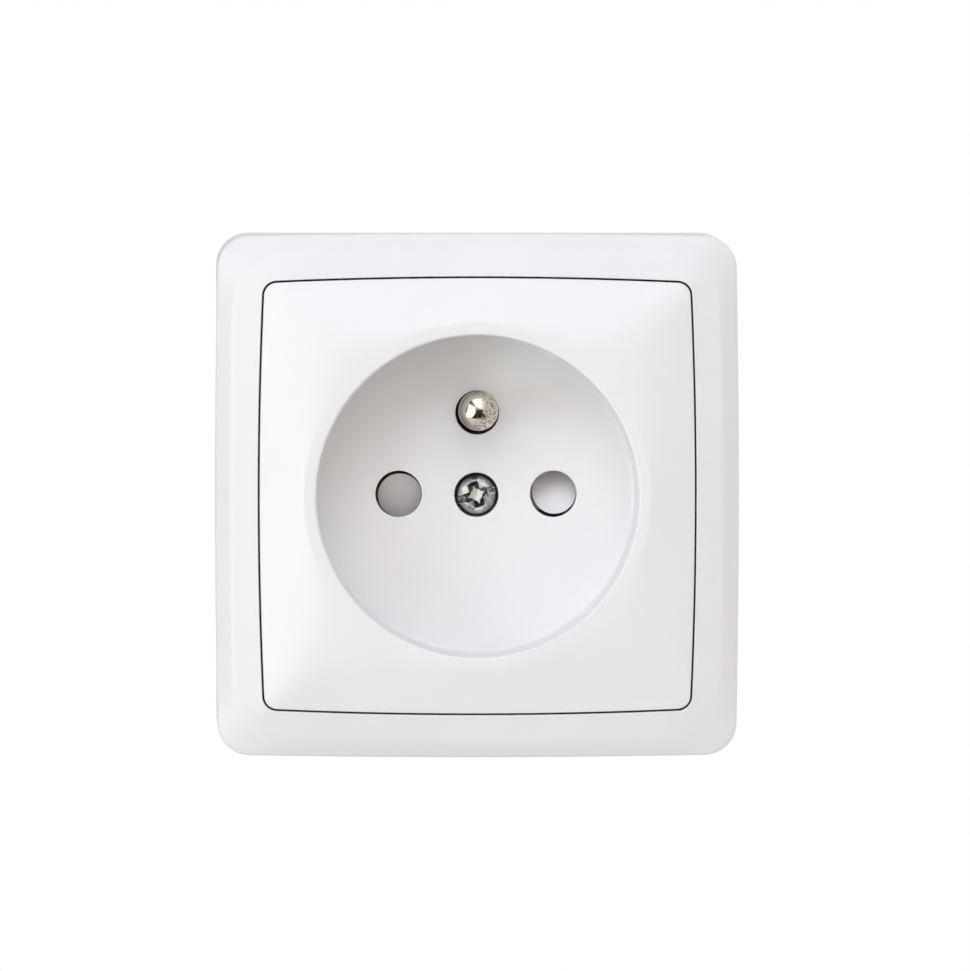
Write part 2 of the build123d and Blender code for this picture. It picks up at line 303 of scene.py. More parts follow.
white_housing = plastic("housing_plastic", (0.88, 0.88, 0.885), gap=True)
white_cover = plastic("cover_plastic", (0.918, 0.918, 0.92), gap=True)


# ---- housing -----------------------------------------------------------------


def field(rho, w, depth, half=8.0, line=0.15):
    """Thin score line round the break-out fields at the top and the bottom, on the outside."""
    u = np.abs(rho * COS)
    tall = (SIDE_OF == 1) | (SIDE_OF == 3)
    low = w[0] < 9.0 + line
    on_leg = tall & (np.abs(u - half) < line) & (w < 9.0 + line)
    on_top = tall & (u < half + line) & (np.abs(w - 9.0) < line)
    return np.where(on_leg | on_top, rho - depth, rho) if low else rho


def make_housing():
    wall = outline(32.35, 32.35, 4.0)
    shoulder = outline(31.85, 31.5, 4.0)
    ridge = outline(29.95, 29.4, 7.2)
    opening = outline(26.62, 26.01, 1.8)
    ledge = outline(25.2, 24.6, 1.5)
    inner = outline(30.1, 30.1, 2.2)

    def side(w):
        return wall + (shoulder - wall) * w / 35.9

    pts = [(side(0) - 0.18, 0.0, 0, 0, 0), (side(0.18), 0.18, 0, 0, 0)]
    for w in (1.0, 4.0, 8.7, 8.84, 8.86, 9.14, 9.16, 9.3, 14.0, 22.0, 30.0):
        pts.append((side(w), w, 0, 0, 0))
    pts += [(shoulder, 35.9, 0.38, 7, 0)]
    pts += [(ridge, 37.5, 0.5, 7, 0)]
    pts += [(opening + (ridge - opening) * 0.35, 38.35 - 0.85 * 0.35, 0, 0, 0)]
    pts += [(opening, 38.35, 0.14, 5, 1), (opening, 36.0, 0, 0, 1), (ledge, 36.0, 0.1, 2, 1), (ledge, 34.0, 0, 0, 0)]
    pts += [(inner, 34.0, 0, 0, 0), (inner, 9.05, 0, 0, 0), (inner, 8.95, 0, 0, 0), (inner, 0.0, 0, 0, 0)]
    rings = soften(pts)
    bm = bmesh.new()
    layer = bm.verts.layers.float.new("gap")
    made = []
    for k, (rho, w, gap) in enumerate(rings):
        if 2 <= k <= 9:
            rho = field(rho, w, 0.22)
        if k >= len(rings) - 2:
            # inside of the break-out fields
            u = np.abs(rho * COS)
            pocket = ((SIDE_OF == 1) | (SIDE_OF == 3)) & (u < 8.0)
            rho = np.where(pocket, (32.35 - 0.82) / np.cos(PHI), rho)
        value = np.clip((38.22 - w) / 0.3, 0, 1) * gap
        made.append(add_ring(bm, layer, rho, w, value))
    for a, b in zip(made, made[1:] + made[:1]):
        strip(bm, a, b)
    o = finish_mesh(bm, "housing_shell")
    o.data.materials.append(white_housing)
    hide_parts("outer_housing")
    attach(o, "socket_fixed")
    return o


# ---- centre cover --------------------------------------------------------------

PITCH = 19.0
HOLE_R = 2.85
EARTH = (0.14, 9.99)
EARTH_R = 2.67
SCREW = (0.05, -0.10)
RIM = 21.05
FLOOR, FLOOR_BACK = 26.0, 24.2
EDGE_W, FRONT_W = 38.4, 41.0


def crown(t, power):
    """The cover's face between its rim (t = 0) and its outline (t = 1): the corners soften towards the rim."""
    far = outline(26.4, 25.79, 1.6 + 4.5 * (1 - t) ** 0.8)
    rho = RIM + t * (far - RIM)
    return rho, FRONT_W - (FRONT_W - EDGE_W) * t ** power


def make_cover():
    edge = outline(26.4, 25.79, 1.6)
    skirt = outline(24.95, 24.3, 1.3)
    hollow = outline(23.3, 22.7, 1.2)
    # straight from rim to edge in the middle of each side, leaving the rim more gently towards the corners
    power = 1.0 + 0.8 * np.maximum(0.0, 0.486 * np.cos(PHI) * (edge - RIM) / (FRONT_W - EDGE_W) - 1.0)

    pts = [(18.2, FLOOR, 0, 0, 0), (18.6, FLOOR, 0, 0, 0)]
    for i in range(9):
        q = math.radians(90 * i / 8)
        pts.append((19.0 + 0.5 * math.sin(q), FLOOR + 0.5 - 0.5 * math.cos(q), 0, 0, 0))
    for w in (27.0, 29.5, 33.0, 36.5, 40.2):
        pts.append((19.5, w, 0, 0, 0))
    for i in range(9):
        q = math.radians(90 * i / 8)
        pts.append((19.85 - 0.35 * math.cos(q), FRONT_W - 0.35 + 0.35 * math.sin(q), 0, 0, 0))
    pts += [(19.98, FRONT_W, 0, 0, 0), (20.5, FRONT_W, 0, 0, 0)]
    pts.append((RIM, FRONT_W, 0.22, 5, 0))
    for t in (0.06, 0.12, 0.18, 0.24, 0.3, 0.36, 0.42, 0.48, 0.54, 0.6, 0.66, 0.72, 0.78, 0.84, 0.9, 0.95):
        rho, w = crown(t, power)
        pts.append((rho, w, 0, 0, 0))
    pts.append((edge, EDGE_W, 0.16, 6, 1))
    pts += [(edge, 37.4, 0, 0, 1), (edge, 36.0, 0, 0, 1), (skirt, 36.0, 0, 0, 1), (skirt, 29.0, 0, 0, 0)]
    pts += [(hollow, 29.0, 0, 0, 0), (hollow, 36.0, 0, 0, 0)]
    f = (hollow - 21.4) / (hollow - 20.8)
    pts += [(21.4, 36.0 + 2.9 * f, 0, 0, 0), (21.4, FLOOR_BACK, 0, 0, 0), (21.1, FLOOR_BACK, 0, 0, 0)]

    bm = bmesh.new()
    layer = bm.verts.layers.float.new("gap")
    made = []
    for rho, w, gap in soften(pts):
        value = np.clip((38.26 - w) / 0.3, 0, 1) * gap
        made.append(add_ring(bm, layer, rho * ONE, w * ONE, value))
    for a, b in zip(made, made[1:]):
        strip(bm, a, b)

    # holes: a small round at the front edge, then the wall
    n = 96
    fronts, backs = [], []
    for u, v, r, e in ((-PITCH / 2, 0, HOLE_R, 0.15), (PITCH / 2, 0, HOLE_R, 0.15), (*EARTH, EARTH_R, 0.09)):
        prof = [(r + e + 0.35, FLOOR), (r + e + 0.06, FLOOR)]
        prof += [(r + e - e * math.sin(math.radians(q)), FLOOR - e + e * math.cos(math.radians(q))) for q in (0, 15, 30, 45, 60, 75, 90)]
        prof += [(r, FLOOR - e - 0.12), (r, FLOOR_BACK + 0.2), (r, FLOOR_BACK), (r + 0.3, FLOOR_BACK)]
        rings = tube_of(bm, u, v, prof, n)
        fronts.append(rings[0])
        backs.append(rings[-1])
    e, r = 0.14, 2.72
    prof = [(r + e + 0.35, FLOOR), (r + e + 0.06, FLOOR)]
    prof += [(r + e - e * math.sin(math.radians(q)), FLOOR - e + e * math.cos(math.radians(q))) for q in (0, 15, 30, 45, 60, 75, 90)]
    prof += [(r, FLOOR - e - 0.12), (r, 23.3), (1.7, 23.3), (1.7, 17.5), (4.4, 17.5), (4.4, FLOOR_BACK - 0.05), (4.4, FLOOR_BACK), (4.7, FLOOR_BACK)]
    rings = [add_circle(bm, *(SCREW if 2 < r < 4 and w > 23.2 else (0, 0)), r, w, n) for r, w in prof]
    for a, b in zip(rings, rings[1:]):
        strip(bm, a, b)
    fronts.append(rings[0])
    backs.append(rings[-1])
    fill(bm, [made[0]] + fronts)
    fill(bm, [made[-1]] + backs)

    # posts for the guide plate, stops and the spring's peg, each a closed pin that ends in the floor
    for u, v in ((7.0, 10.5), (-7.0, -10.5)):
        rings = tube_of(bm, u, v, [(1.55, 18.2), (1.7, 18.35), (1.7, 18.9), (1.0, 18.9), (1.0, 20.1), (1.8, 20.1), (1.8, 24.6)], 32)
        cap(bm, rings[0]), cap(bm, rings[-1])
    for r, deg, w0, size in ((7.4, 26.5, 20.6, 0.7), (7.4, 206.5, 20.6, 0.7), (7.4, 262, 22.9, 0.65)):
        u, v = r * math.cos(math.radians(deg)), r * math.sin(math.radians(deg))
        rings = tube_of(bm, u, v, [(size - 0.1, w0), (size, w0 + 0.1), (size, 24.6)], 24)
        cap(bm, rings[0]), cap(bm, rings[-1])
    o = finish_mesh(bm, "cover_shell")
    o.data.materials.append(white_cover)
    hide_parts("centre_cover")
    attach(o, "socket_fixed")
    return o


# ---- earth pin -------------------------------------------------------------------

PIN = (0.15, 10.3)


def make_pin():
    bm = bmesh.new()
    r, top = 2.4, 40.0
    prof = [(2.4, 6.05), (2.4, 6.8), (1.6, 6.8), (1.6, 8.0), (3.4, 8.0), (3.4, 9.5), (2.2, 9.5), (2.2, 25.3), (2.4, 25.55)]
    prof += [(r, 26.2), (r, 30.0), (r, 34.0), (r, 37.0)]
    steps = 40
    for i in range(steps):
        q = math.radians(90 * i / steps)
        prof.append((r * math.cos(q), top - r + r * math.sin(q)))
    # the pin leans a little: its foot stands lower in its hole than its tip does
    rings = [add_circle(bm, PIN[0], PIN[1] - 0.09 * min(max((top - w) / 14.0, 0), 1), rr, w, 96) for rr, w in prof]
    for a, b in zip(rings, rings[1:]):
        strip(bm, a, b)
    cap(bm, rings[0])
    tip = bm.verts.new(at(*PIN, top))
    for i in range(96):
        bm.faces.new((rings[-1][i], rings[-1][(i + 1) % 96], tip))
    o = finish_mesh(bm, "earth_pin_turned")

    m = Mat("pin_nickel")
    clouds = m.spread(m.noise(420, 4, 0.6), 0.0, 1.0)
    col = m.mix(clouds, (0.70, 0.61, 0.49), (0.86, 0.775, 0.655))
    # the plating is worn on the right and below, where plugs have rubbed: brown grain, and single pits above it
    sep = m.node("ShaderNodeSeparateXYZ")
    m.link(m.coord.outputs["Object"], sep.inputs[0])
    right = m.math("SUBTRACT", sep.outputs["X"], PIN[0] * MM)
    down = m.math("SUBTRACT", PIN[1] * MM, sep.outputs["Z"])
    tip_only = m.spread(sep.outputs["Y"], 1.0, 0.12, -0.0374, -0.0362)
    worn = m.math("MULTIPLY", m.spread(m.math("ADD", m.math("MULTIPLY", right, 0.75), down), 0.0, 1.0, 0.0006, 0.0017), tip_only)
    side = m.math("MULTIPLY", m.spread(right, 0.0, 1.0, 0.0002, 0.0012), tip_only)
    grain = m.noise(5200, 3, 0.6, 0.3)
    dark_grain = m.math("MULTIPLY", m.spread(grain, 1.0, 0.0, 0.40, 0.50), worn)
    light_grain = m.math("MULTIPLY", m.spread(grain, 0.0, 1.0, 0.56, 0.66), worn)
    spots = m.math("MULTIPLY", m.spread(m.noise(3300, 2, 0.5, 0.5), 1.0, 0.0, 0.37, 0.415), m.math("MAXIMUM", side, worn))
    rubbed = m.math("MULTIPLY", m.math("MULTIPLY", m.spread(right, 0.0, 1.0, 0.0002, 0.0014), worn), 0.55)
    col = m.mix(rubbed, col, (1.0, 0.93, 0.81))
    col = m.mix(m.math("MULTIPLY", light_grain, 0.8), col, (1.0, 0.95, 0.85))
    col = m.mix(m.math("MULTIPLY", dark_grain, 0.88), col, (0.19, 0.145, 0.105))
    # painted dark reflection on the side of the pin, above and on the left, and darker still at the lower left
    painted_dark_reflection = m.spread(m.math("SUBTRACT", m.math("MULTIPLY", down, -0.35), right), 0.0, 1.0, -0.0006, 0.0009)
    foot = m.spread(sep.outputs["Y"], 0.0, 1.0, -0.0392, -0.0382)
    col = m.mix(m.math("MULTIPLY", m.math("MULTIPLY", painted_dark_reflection, foot), 0.84), col, (0.13, 0.105, 0.08))
    # painted dark reflection, strongest at the lower left of the dome
    low_left_painted_dark = m.spread(m.math("SUBTRACT", down, right), 0.0, 0.5, 0.0021, 0.0031)
    col = m.mix(low_left_painted_dark, col, (0.09, 0.07, 0.055))
    col = m.mix(spots, col, (0.075, 0.06, 0.045))
    m.set("Base Color", col)
    m.set("Metallic", 1.0)
    pits = m.math("MAXIMUM", spots, m.math("MULTIPLY", dark_grain, 0.7))
    m.set("Roughness", m.math("ADD", m.spread(m.noise(900, 5, 0.7), 0.05, 0.14), m.math("MULTIPLY", pits, 0.3)))
    fine = m.bump(m.noise(2600, 4, 0.6), 0.10, 0.00004)
    m.set("Normal", m.bump(m.math("SUBTRACT", 1.0, pits), 0.6, 0.00005, fine))
    o.data.materials.append(m.m)
    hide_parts("earth_pin")
    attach(o, "socket_fixed")
    return o


# ---- cover screw --------------------------------------------------------------------

HEAD_R = 2.55
HEAD_TURN = 17.0


def step(a, b, x):
    t = np.clip((x - a) / (b - a), 0, 1)
    return t * t * (3 - 2 * t)


def make_screw():
    rows, cols = 100, 216
    R = np.linspace(0.0, HEAD_R, rows + 1)[1:][:, None] * np.ones((1, cols))
    A = (np.arange(cols) * 2 * math.pi / cols)[None, :] * np.ones((rows, 1))
    X, Y = R * np.cos(A), R * np.sin(A)
    q = math.radians(HEAD_TURN)
    S, T = X * math.cos(q) + Y * math.sin(q), -X * math.sin(q) + Y * math.cos(q)   # along and across the slot
    # wear: soft waves that stand for a head that slipping drivers have chewed
    rng = np.random.default_rng(7)
    wave = np.zeros_like(R)
    for _ in range(14):
        kx, ky, ph = rng.normal(0, 3.2), rng.normal(0, 3.2), rng.uniform(0, 6.28)
        wave += np.sin(kx * X + ky * Y + ph)
    wave /= 4.0
    dome = 25.72 - R * R / 10.5
    dome -= 0.42 * step(HEAD_R - 0.30, HEAD_R, R) ** 1.5
    # the cross leans a little against the slot
    lean = math.radians(-3.5)
    S2, T2 = S * math.cos(lean) - T * math.sin(lean), S * math.sin(lean) + T * math.cos(lean)
    slot_half = 0.40 + 0.03 * wave
    slot_mask = (1 - step(slot_half - 0.05, slot_half + 0.07, np.abs(T))) * (1 - step(2.15, 2.42, np.abs(S)))
    arm1 = (1 - step(0.42, 0.60, np.abs(T2) + 0.03 * wave)) * (1 - step(1.22, 1.55, np.abs(S2)))
    arm2 = (1 - step(0.50, 0.68, np.abs(S2) + 0.04 * wave)) * (1 - step(1.32, 1.62, np.abs(T2)))
    # the worn star in the middle of the cross, shallow and bare
    star = np.minimum(np.hypot(S2, T2) / 0.80, np.minimum(np.abs(S2) + 1.9 * np.abs(T2), np.abs(T2) + 1.9 * np.abs(S2)) / 1.26)
    core = 1 - step(0.86, 1.02, star + 0.04 * wave)
    arms = np.maximum(arm1, arm2)
    cut = np.maximum(0.30 * slot_mask, 0.85 * arms)
    cut = cut * (1 - core) + core * (0.55 - 0.16 * (1 - np.hypot(S2, T2)))
    top = dome - cut + 0.02 * wave * arms
    # burrs raised along the edges of the recess
    near = np.maximum(slot_mask, arms)
    burr = np.exp(-((near - 0.16) / 0.15) ** 2) * step(0.0, 0.05, near) * (1 - core)
    # scratches and turned-up lips left by slipping drivers: ends, width
    lips = np.zeros_like(R)
    for x0, y0, x1, y1, wide in ((-2.15, -1.0, -1.1, -1.12, 0.05), (-1.15, -1.0, -0.45, -1.55, 0.05), (-0.12, -1.80, 0.62, -1.74, 0.10),
                                 (0.62, -1.74, 0.86, -1.45, 0.06), (1.42, 0.48, 1.50, 0.02, 0.09), (1.62, 0.02, 2.28, 0.28, 0.10),
                                 (0.15, 1.75, 1.15, 1.05, 0.13), (-0.75, 1.72, -0.1, 1.80, 0.06), (-1.62, 0.42, -0.98, 1.42, 0.17),
                                 (-2.2, -0.72, -2.0, -0.35, 0.05), (1.02, -0.35, 1.18, 0.1, 0.05), (0.9, -0.75, 1.05, -1.2, 0.06), (1.62, 0.62, 2.1, 0.86, 0.05)):
        dx, dy = x1 - x0, y1 - y0
        xw, yw = X + 0.07 * np.sin(5.1 * Y + 2.3 * X + 1.0), Y + 0.07 * np.sin(6.3 * X - 1.7 * Y)
        s = np.clip(((xw - x0) * dx + (yw - y0) * dy) / (dx * dx + dy * dy), 0, 1)
        off = np.hypot(xw - x0 - s * dx, yw - y0 - s * dy) / (wide * (0.75 + 0.5 * np.sin(3.0 * s + 40 * wide) ** 2))
        lips = np.maximum(lips, np.exp(-off * off))
    top += 0.04 * burr * (0.6 + 0.5 * wave) + 0.05 * lips + 0.008 * wave * (1 - near)

    def lobe(deg, wide, r, deep):
        d = (A - math.radians(deg) + math.pi) % (2 * math.pi) - math.pi
        return np.exp(-(d / math.radians(wide)) ** 2 - ((R - r) / deep) ** 2)

    # how bare the steel is, with painted highlights and painted shade: bright lobes at set angles round the recess
    # stand in for reflections, and the rim is painted black as shade
    bareness_and_painted_light = 0.36 + 0.40 * (1 - step(1.2, 2.45, R)) + 0.48 * lobe(150, 26, 1.55, 0.36) + 0.46 * lobe(58, 24, 1.72, 0.32)
    bareness_and_painted_light += 1.0 * lobe(-42, 40, 1.7, 0.45) + 0.16 * lobe(238, 26, 1.7, 0.7) + 0.40 * lobe(-95, 30, 2.0, 0.35) - 0.42 * lobe(95, 26, 2.15, 0.35) + 0.08 * wave
    bareness_and_painted_light = np.clip(bareness_and_painted_light, 0.05, 1.3) * (1 - 0.97 * step(2.26, 2.50, R))
    # painted shade in the slot and the arms of the cross, lighter in places
    hidden = np.clip(np.maximum(0.75 * slot_mask, arms), 0, 1) * (1 - core)
    crevice_shade = np.clip(hidden * (0.92 - 0.35 * step(0.2, 1.2, wave)) , 0, 1)
    bright = np.clip(0.55 * burr * (0.5 + 0.6 * wave) + lips * (0.9 + 0.2 * wave), 0, 1)
    east = step(-0.45, 0.35, X - 0.25 * Y)
    bare = np.maximum(core, 0.62 * np.exp(-((X + 1.28) / 0.2) ** 2 - ((Y + 0.4) / 0.22) ** 2)) * (0.45 + 0.55 * east) * (1 - 0.55 * np.exp(-((X + 0.08) / 0.16) ** 2 - ((Y - 0.25) / 0.3) ** 2)) * (0.92 + 0.08 * wave)

    bm = bmesh.new()
    ld = bm.verts.layers.float.new("depth")
    lb = bm.verts.layers.float.new("wear")
    ls = bm.verts.layers.float.new("bareness_and_painted_light")
    lc = bm.verts.layers.float.new("bare")
    centre = bm.verts.new(at(*SCREW, float(top[0].mean())))
    centre[ld], centre[lb], centre[ls], centre[lc] = (float(a[0].mean()) for a in (crevice_shade, bright, bareness_and_painted_light, bare))
    grid = []
    for i in range(rows):
        ring = []
        for j in range(cols):
            v = bm.verts.new(at(X[i, j] + SCREW[0], Y[i, j] + SCREW[1], top[i, j]))
            v[ld] = float(crevice_shade[i, j])
            v[lb] = float(bright[i, j])
            v[ls] = float(bareness_and_painted_light[i, j])
            v[lc] = float(bare[i, j])
            ring.append(v)
        grid.append(ring)
    for j in range(cols):
        bm.faces.new((centre, grid[0][j], grid[0][(j + 1) % cols]))
    for a, b in zip(grid, grid[1:]):
        strip(bm, a, b)
    prev = grid[-1]
    for r, w in ((HEAD_R, 24.3), (HEAD_R, 23.35), (HEAD_R - 0.06, 23.3), (1.62, 23.3), (1.5, 23.15)):
        du, dv = SCREW if r > 1.6 else (0, 0)
        ring = [bm.verts.new(at(r * math.cos(t) + du, r * math.sin(t) + dv, w)) for t in A[0]]
        strip(bm, prev, ring)
        prev = ring
    # rolled thread on the shank, and a plain point
    turns = 15.0 / 0.5
    count = int(turns * 8)
    for i in range(1, count + 1):
        base = 23.1 - 14.6 * i / count
        ring = []
        for t in A[0][::6]:
            phase = (base / 0.5 + t / (2 * math.pi)) % 1.0
            r = 1.36 + 0.14 * (1 - abs(2 * phase - 1))
            ring.append(bm.verts.new(at(r * math.cos(t), r * math.sin(t), base)))
        if i == 1:
            m = len(prev)
            k = m // len(ring)
            for j in range(len(ring)):
                a = [prev[(j * k + s) % m] for s in range(k + 1)]
                bm.faces.new([ring[j]] + a + [ring[(j + 1) % len(ring)]])
        else:
            strip(bm, prev, ring)
        prev = ring
    n = len(prev)
    end = [bm.verts.new(at(1.05 * math.cos(t), 1.05 * math.sin(t), 8.05)) for t in A[0][::6]]
    strip(bm, prev, end)
    cap(bm, end)
    o = finish_mesh(bm, "cover_screw_worn", 45)

    m = Mat("screw_steel")
    clouds = m.spread(m.noise(420, 5, 0.65), 0.55, 1.0)
    grit = m.spread(m.noise(3600, 3, 0.6), 0.6, 1.25)
    # the base colour follows the bareness and the painted highlights and shade of the head
    tone = m.math("MULTIPLY", m.math("MULTIPLY", m.attribute("bareness_and_painted_light"), clouds), grit)
    col = m.mix(tone, (0.012, 0.012, 0.012), (0.93, 0.935, 0.91))
    # the slot and the cross are painted near black as shade, turning to a brownish stain in places
    stain = m.spread(m.noise(300, 4, 0.6), 0.0, 1.0, 0.45, 0.65)
    col = m.mix(m.math("MULTIPLY", m.attribute("depth"), 0.97), col, m.mix(stain, (0.022, 0.022, 0.019), (0.12, 0.115, 0.075)))
    col = m.mix(m.attribute("wear"), col, (0.95, 0.95, 0.93))
    bare = m.attribute("bare")
    col = m.mix(m.spread(bare, 0.0, 1.0, 0.02, 0.25), col, m.mix(m.spread(bare, 0.0, 1.0, 0.45, 0.92), (0.50, 0.53, 0.36), (1.0, 1.0, 0.985)))
    m.set("Base Color", col)
    # bare, scratched steel scatters: it is bright whatever it mirrors
    scattering = m.math("MAXIMUM", m.attribute("wear"), m.spread(bare, 0.0, 1.0, 0.05, 0.4))
    m.set("Metallic", m.math("SUBTRACT", 1.0, scattering))
    m.set("Roughness", m.spread(m.noise(1100, 5, 0.7), 0.26, 0.50))
    rough = m.bump(m.noise(1900, 5, 0.7, 0.4), 0.45, 0.00006)
    m.set("Normal", rough)
    o.data.materials.append(m.m)
    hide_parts("cover_screw")
    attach(o, "socket_fixed")
    return o


# ---- shutter spring: one wire, straight legs and a coil -------------------------------


def make_spring():
    coil_r, wire, w0, w1 = 5.2, 0.2, 22.0, 23.7
    a0, sweep = math.radians(9.3), math.radians(938.4)
    rise = (w1 - w0) / sweep

    def coil_at(s):
        return Vector((coil_r * math.cos(a0 + s), coil_r * math.sin(a0 + s), w0 + rise * s))

    def tangent(s):
        return Vector((-coil_r * math.sin(a0 + s), coil_r * math.cos(a0 + s), rise)).normalized()

    pts = [coil_at(0) - tangent(0) * x for x in (4.8, 3.2, 1.6, 0.5)]
    steps = 190
    pts += [coil_at(sweep * i / steps) for i in range(steps + 1)]
    pts += [coil_at(sweep) + tangent(sweep) * x for x in (0.5, 1.7, 3.4, 5.2)]
    bm = bmesh.new()
    prev = None
    first = None
    for i, p in enumerate(pts):
        a, b = pts[max(i - 1, 0)], pts[min(i + 1, len(pts) - 1)]
        d = (b - a).normalized()
        side = d.cross(Vector((0, 0, 1))).normalized()
        up = side.cross(d)
        ring = [bm.verts.new(at(*(p + side * wire * math.cos(t) + up * wire * math.sin(t)))) for t in (2 * math.pi * k / 12 for k in range(12))]
        if prev:
            strip(bm, prev, ring)
        else:
            first = ring
        prev = ring
    cap(bm, first), cap(bm, prev)
    o = finish_mesh(bm, "shutter_spring_wire", 60)
    o.data.materials.append(metal("spring_steel", (0.55, 0.55, 0.56), (0.22, 0.38), 0.1, 0.2))
    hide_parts("shutter_spring")
    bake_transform(o)
    return o


make_housing()
make_cover()
make_pin()
make_screw()
make_spring()

# ---- CAD pieces that stay, with their own finishes ------------------------------------

shutter_white = plastic("shutter_plastic", (0.96, 0.965, 0.955), (0.3, 0.42), 0.02, 0.06)
base_white = plastic("base_plastic", (0.74, 0.74, 0.73), (0.48, 0.6), 0.03, 0.12)
mech_grey = plastic("mechanism_plastic", (0.56, 0.56, 0.53), (0.5, 0.62), 0.05, 0.15)
guide_white = plastic("insulator_plastic", (0.62, 0.61, 0.58), (0.45, 0.6), 0.04, 0.12)
zinc = metal("zinc_steel", (0.62, 0.63, 0.65), (0.2, 0.36), 0.1, 0.2)
spring_strip = metal("spring_strip_steel", (0.5, 0.5, 0.51), (0.22, 0.36), 0.1, 0.2)
brass = metal("contact_brass", (0.72, 0.52, 0.25), (0.2, 0.36), 0.15, 0.2)
brass_block = metal("terminal_brass", (0.70, 0.50, 0.24), (0.26, 0.42), 0.18, 0.25, 500)

FINISH = {
    "shutter": shutter_white, "mounting_base": base_white, "mechanism_body": mech_grey, "contact_cover_plate": guide_white,
    "shutter_retainer": guide_white, "mechanism_screws": zinc, "square_nut": zinc, "terminal_screws": zinc,
    "contact_springs": spring_strip, "line_contact": brass, "neutral_contact": brass, "earth_strap": brass,
    "line_terminal": brass_block, "neutral_terminal": brass_block, "earth_terminal": brass_block,
}
# painted shade: the shutter's left ramp, left of the middle, is coloured greyer than the right
shutter_tree = shutter_white.node_tree
shader = shutter_tree.nodes["Principled BSDF"]
clean = shader.inputs["Base Color"].links[0].from_socket
place = shutter_tree.nodes.new("ShaderNodeTexCoord")
axes = shutter_tree.nodes.new("ShaderNodeSeparateXYZ")
shutter_tree.links.new(place.outputs["Object"], axes.inputs[0])
reach = shutter_tree.nodes.new("ShaderNodeMapRange")
reach.inputs["From Min"].default_value = -0.004
reach.inputs["From Max"].default_value = 0.004
reach.inputs["To Min"].default_value = 0.18
reach.inputs["To Max"].default_value = 0.0
shutter_tree.links.new(axes.outputs["X"], reach.inputs["Value"])
# painted shade: grey mixed in towards the left ramp
left_ramp_shade = shutter_tree.nodes.new("ShaderNodeMix")
left_ramp_shade.data_type = "RGBA"
shutter_tree.links.new(reach.outputs["Result"], left_ramp_shade.inputs[0])
shutter_tree.links.new(clean, left_ramp_shade.inputs[6])
left_ramp_shade.inputs[7].default_value = (0.34, 0.33, 0.30, 1)
shutter_tree.links.new(left_ramp_shade.outputs[2], shader.inputs["Base Color"])

for name, material in FINISH.items():
    o = nodes[name]
    if not o.material_slots:
        o.data.materials.append(material)
    for s in o.material_slots:
        s.material = material

# ---- floor, light and camera ---------------------------------------------------------


def plane(name, size_x, size_y, location, toward=None):
    mesh = bpy.data.meshes.new(name)
    x, y = size_x / 2, size_y / 2
    mesh.from_pydata([(-x, -y, 0), (x, -y, 0), (x, y, 0), (-x, y, 0)], [], [(0, 1, 2, 3)])
    o = bpy.data.objects.new(name, mesh)
    scene.collection.objects.link(o)
    o.location = location
    if toward is not None:
        o.rotation_euler = (Vector(toward) - Vector(location)).to_track_quat("-Z", "Y").to_euler()
    return o


floor = plane("floor", 6.0, 6.0, (0, 0, -1.0))
fm = Mat("floor_paper")
fm.set("Base Color", fm.mix(fm.spread(fm.noise(3, 3), 0, 1), (0.78, 0.78, 0.78), (0.82, 0.82, 0.82)))
fm.set("Roughness", fm.spread(fm.noise(20, 3), 0.8, 0.95))
floor.data.materials.append(fm.m)

world = bpy.data.worlds.new("studio")
scene.world = world
world.use_nodes = True
wt = world.node_tree
wt.nodes.clear()
out = wt.nodes.new("ShaderNodeOutputWorld")
path = wt.nodes.new("ShaderNodeLightPath")
ambient = wt.nodes.new("ShaderNodeBackground")
ambient.inputs["Color"].default_value = (1.0, 0.804, 0.764, 1)
ambient.inputs["Strength"].default_value = 0.3195
white = wt.nodes.new("ShaderNodeBackground")
white.inputs["Color"].default_value = (1, 1, 1, 1)
white.inputs["Strength"].default_value = 1.0
# the pale wall behind the object is brighter than the room in front of it
behind = wt.nodes.new("ShaderNodeBackground")
behind.inputs["Color"].default_value = (1, 1, 1, 1)
behind.inputs["Strength"].default_value = 0.45
way = wt.nodes.new("ShaderNodeTexCoord")
parts = wt.nodes.new("ShaderNodeSeparateXYZ")
wt.links.new(way.outputs["Generated"], parts.inputs[0])
back = wt.nodes.new("ShaderNodeMapRange")
back.inputs["From Min"].default_value = -0.25
back.inputs["From Max"].default_value = 0.08
wt.links.new(parts.outputs["Y"], back.inputs["Value"])
east = wt.nodes.new("ShaderNodeMapRange")
east.inputs["From Min"].default_value = -0.9
east.inputs["From Max"].default_value = -0.2
east.inputs["To Min"].default_value = 0.85
east.inputs["To Max"].default_value = 1.15
wt.links.new(parts.outputs["X"], east.inputs["Value"])
wt.links.new(east.outputs["Result"], behind.inputs["Strength"])
room = wt.nodes.new("ShaderNodeMixShader")
wt.links.new(back.outputs["Result"], room.inputs["Fac"])
wt.links.new(ambient.outputs[0], room.inputs[1])
wt.links.new(behind.outputs[0], room.inputs[2])
